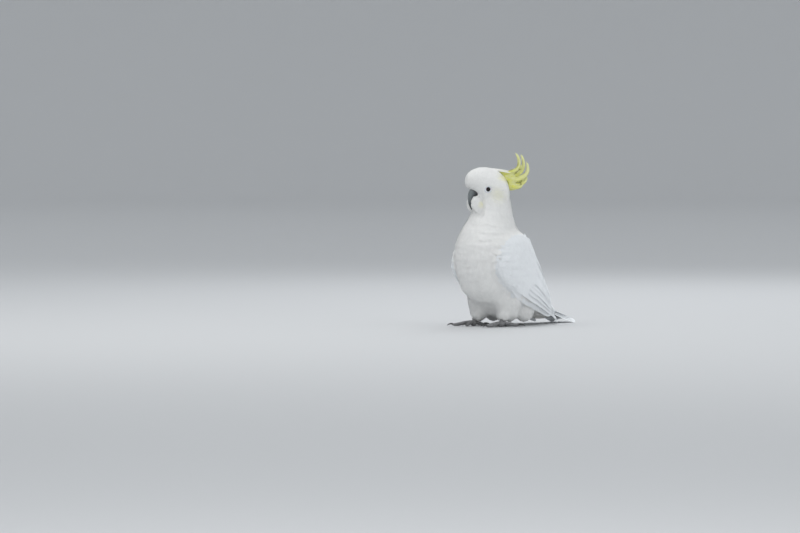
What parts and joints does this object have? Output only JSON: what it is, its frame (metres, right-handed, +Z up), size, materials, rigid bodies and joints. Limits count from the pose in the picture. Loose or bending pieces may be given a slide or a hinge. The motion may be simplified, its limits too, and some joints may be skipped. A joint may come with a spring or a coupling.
{
  "type": "sulphur-crested cockatoo model",
  "caption": "Still life-size model of a white cockatoo with a yellow crest, standing upright with folded wings, its head turned aside and its tail on the floor.",
  "frame": {"origin": "middle of the bounding box, at floor level", "axes": "+Z up, the bird faces -Y, its left side is +X"},
  "size_m": [0.1528, 0.3696, 0.382],
  "materials": {
    "plumage": "soft white contour feathers, matt",
    "flight_feathers": "smooth white flight feathers with fine barbs, low sheen",
    "crest": "lemon yellow feathers, matt",
    "bill": "dark grey horn with a dusty bloom, satin",
    "cere": "bare dark skin, matt",
    "eye": "near-black brown, wet gloss",
    "leg_skin": "dark grey scaly skin with pale scale edges, matt",
    "claw": "dark horn, satin"
  },
  "bodies": {
    "root": {"head": "plumage", "neck": "plumage", "trunk": "plumage", "crest": "crest", "cere": "cere", "bill_upper": "bill", "bill_lower": "bill", "eye_left": "eye", "eye_right": "eye", "wing_left": "plumage", "wing_right": "plumage", "primaries_left": "flight_feathers", "primaries_right": "flight_feathers", "tail": "flight_feathers", "thigh_left": "plumage", "thigh_right": "plumage", "shank_left": "leg_skin", "shank_right": "leg_skin", "foot_left": "leg_skin", "foot_right": "leg_skin", "claw_left_inner_front": "claw", "claw_left_outer_front": "claw", "claw_left_outer_back": "claw", "claw_left_inner_back": "claw", "claw_right_inner_front": "claw", "claw_right_outer_front": "claw", "claw_right_outer_back": "claw", "claw_right_inner_back": "claw"}
  },
  "joints": []
}
